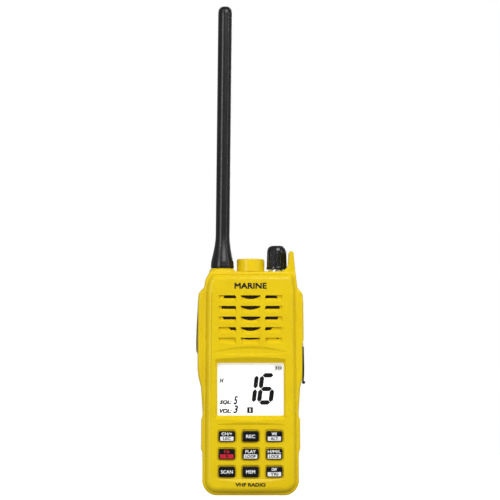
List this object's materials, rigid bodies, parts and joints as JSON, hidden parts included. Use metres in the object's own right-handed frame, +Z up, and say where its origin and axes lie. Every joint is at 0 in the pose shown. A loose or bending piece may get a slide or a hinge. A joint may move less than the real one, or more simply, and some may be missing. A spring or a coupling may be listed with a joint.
{
  "type": "handheld marine two-way radio",
  "caption": "Yellow waterproof handheld marine radio: screw-on whip antenna, knob, capped socket, keypad, display, side talk key, jack cover, clip-on battery and belt clip.",
  "frame": {"origin": "centre of the flat base, under the middle of the housing's depth", "axes": "+Z up along the antenna, -Y out of the front face towards the user, +X to the right seen from the front"},
  "size_m": [0.0625, 0.0453, 0.2806],
  "materials": {
    "case_plastic": "satin moulded yellow plastic",
    "black_plastic": "black moulded plastic",
    "dark_plastic": "dark grey engineering plastic",
    "key_plastic": "glossy black key cap",
    "window_plastic": "clear hard-coated window",
    "display_glass": "liquid-crystal glass with a backlight",
    "silicone": "grey-black silicone",
    "black_rubber": "black moulded rubber",
    "board_laminate": "green printed circuit board",
    "steel": "plated steel",
    "black_steel": "black-coated spring steel",
    "brass": "brass",
    "gold_contact": "gold-plated copper alloy",
    "die_cast": "cast aluminium chassis",
    "ferrite": "magnet in a steel cup",
    "paper": "black treated paper and cloth"
  },
  "bodies": {
    "housing": {"front_case": "case_plastic", "rear_case": "case_plastic", "case_gasket": "silicone", "case_screws": "steel", "battery_insert": "brass", "lcd_window": "window_plastic", "lcd_module": "display_glass", "lcd_holder": "dark_plastic", "keypad_mat": "silicone", "key_domes": "steel", "main_board": "board_laminate", "rf_board": "board_laminate", "rf_shield": "steel", "chassis": "die_cast", "board_screws": "steel", "speaker_membrane": "paper", "speaker_frame": "steel", "speaker_cone": "paper", "speaker_magnet": "ferrite", "microphone": "black_rubber", "audio_socket_large": "dark_plastic", "audio_socket_small": "dark_plastic", "accessory_socket": "brass", "accessory_pins": "gold_contact", "antenna_socket": "brass", "deck_nuts": "steel", "encoder_body": "dark_plastic", "ptt_switches": "dark_plastic", "jack_cover_anchor": "black_rubber", "battery_contacts": "gold_contact"},
    "antenna_ring": {"antenna_seal": "silicone"},
    "antenna": {"antenna_whip": "black_rubber", "antenna_core": "steel", "antenna_plug": "brass"},
    "knob_carrier": {"encoder_plunger": "steel"},
    "knob": {"encoder_shaft": "steel", "volume_knob": "black_plastic"},
    "talk_key": {"ptt_button": "black_rubber"},
    "cap_ring": {"accessory_cap_seal": "silicone"},
    "cap": {"accessory_cap": "case_plastic"},
    "cover": {"jack_cover": "black_rubber"},
    "battery": {"battery_case": "black_plastic", "battery_cover": "black_plastic", "battery_cells": "dark_plastic", "battery_terminals": "gold_contact", "clip_bracket": "black_plastic", "clip_pin": "steel", "clip_spring": "steel"},
    "pack_screw": {"battery_screw": "steel"},
    "ring": {"screw_ring": "steel"},
    "clip": {"belt_clip": "black_plastic"},
    "key_scan_body": {"key_scan": "key_plastic"},
    "key_memory_body": {"key_memory": "key_plastic"},
    "key_dual_watch_body": {"key_dual_watch": "key_plastic"},
    "key_sixteen_body": {"key_sixteen": "key_plastic"},
    "key_playback_body": {"key_playback": "key_plastic"},
    "key_power_body": {"key_power": "key_plastic"},
    "key_channel_body": {"key_channel": "key_plastic"},
    "key_record_body": {"key_record": "key_plastic"},
    "key_weather_body": {"key_weather": "key_plastic"}
  },
  "joints": [
    {"name": "antenna_lift", "type": "slide", "parent": "housing", "child": "antenna_ring", "axis": [0, 0, 1], "range_m": [0, 0.00494]},
    {"name": "antenna_turn", "type": "hinge", "parent": "antenna_ring", "child": "antenna", "pos_m": [-0.0162, -0.004, 0.13], "axis": [0, 0, 1], "range_deg": [0, 2525]},
    {"name": "knob_press", "type": "slide", "parent": "housing", "child": "knob_carrier", "axis": [0, 0, -1], "range_m": [0, 0.0004], "stiffness_N_per_m": 3000, "springref_m": -0.0002},
    {"name": "knob_turn", "type": "hinge", "parent": "knob_carrier", "child": "knob", "pos_m": [0.015, -0.004, 0.13], "axis": [0, 0, 1], "continuous": true},
    {"name": "talk_press", "type": "slide", "parent": "housing", "child": "talk_key", "axis": [1, 0, 0], "range_m": [0, 0.0008], "stiffness_N_per_m": 2500, "springref_m": -0.0003},
    {"name": "cap_lift", "type": "slide", "parent": "housing", "child": "cap_ring", "axis": [0, 0, 1], "range_m": [0, 0.005]},
    {"name": "cap_turn", "type": "hinge", "parent": "cap_ring", "child": "cap", "pos_m": [0, -0.004, 0.13], "axis": [0, 0, 1], "range_deg": [0, 1805]},
    {"name": "cover_open", "type": "hinge", "parent": "housing", "child": "cover", "pos_m": [0.03005, -0.0015, 0.0846], "axis": [0, -1, 0], "range_deg": [0, 90]},
    {"name": "battery_slide", "type": "slide", "parent": "housing", "child": "battery", "axis": [0, 1, 0], "range_m": [0, 0.03]},
    {"name": "screw_turn", "type": "hinge", "parent": "battery", "child": "pack_screw", "pos_m": [0, 0.0195, 0.015], "axis": [0, 1, 0], "continuous": true},
    {"name": "ring_fold", "type": "hinge", "parent": "pack_screw", "child": "ring", "pos_m": [0, 0.0205, 0.015], "axis": [1, 0, 0], "range_deg": [0, 90]},
    {"name": "clip_open", "type": "hinge", "parent": "battery", "child": "clip", "pos_m": [0, 0.0236, 0.076], "axis": [1, 0, 0], "range_deg": [0, 20], "stiffness_Nm_per_rad": 0.4, "springref_deg": -17.19},
    {"name": "key_scan_press", "type": "slide", "parent": "housing", "child": "key_scan_body", "axis": [0, 1, 0], "range_m": [0, 0.0004], "stiffness_N_per_m": 2500, "springref_m": -0.0002},
    {"name": "key_memory_press", "type": "slide", "parent": "housing", "child": "key_memory_body", "axis": [0, 1, 0], "range_m": [0, 0.0004], "stiffness_N_per_m": 2500, "springref_m": -0.0002},
    {"name": "key_dual_watch_press", "type": "slide", "parent": "housing", "child": "key_dual_watch_body", "axis": [0, 1, 0], "range_m": [0, 0.0004], "stiffness_N_per_m": 2500, "springref_m": -0.0002},
    {"name": "key_sixteen_press", "type": "slide", "parent": "housing", "child": "key_sixteen_body", "axis": [0, 1, 0], "range_m": [0, 0.0004], "stiffness_N_per_m": 2500, "springref_m": -0.0002},
    {"name": "key_playback_press", "type": "slide", "parent": "housing", "child": "key_playback_body", "axis": [0, 1, 0], "range_m": [0, 0.0004], "stiffness_N_per_m": 2500, "springref_m": -0.0002},
    {"name": "key_power_press", "type": "slide", "parent": "housing", "child": "key_power_body", "axis": [0, 1, 0], "range_m": [0, 0.0004], "stiffness_N_per_m": 2500, "springref_m": -0.0002},
    {"name": "key_channel_press", "type": "slide", "parent": "housing", "child": "key_channel_body", "axis": [0, 1, 0], "range_m": [0, 0.0004], "stiffness_N_per_m": 2500, "springref_m": -0.0002},
    {"name": "key_record_press", "type": "slide", "parent": "housing", "child": "key_record_body", "axis": [0, 1, 0], "range_m": [0, 0.0004], "stiffness_N_per_m": 2500, "springref_m": -0.0002},
    {"name": "key_weather_press", "type": "slide", "parent": "housing", "child": "key_weather_body", "axis": [0, 1, 0], "range_m": [0, 0.0004], "stiffness_N_per_m": 2500, "springref_m": -0.0002}
  ],
  "couplings": [
    {"joint": "antenna_turn", "follows": "antenna_lift", "rad_per_m": 8904.7},
    {"joint": "cap_turn", "follows": "cap_lift", "rad_per_m": 6283.2}
  ]
}
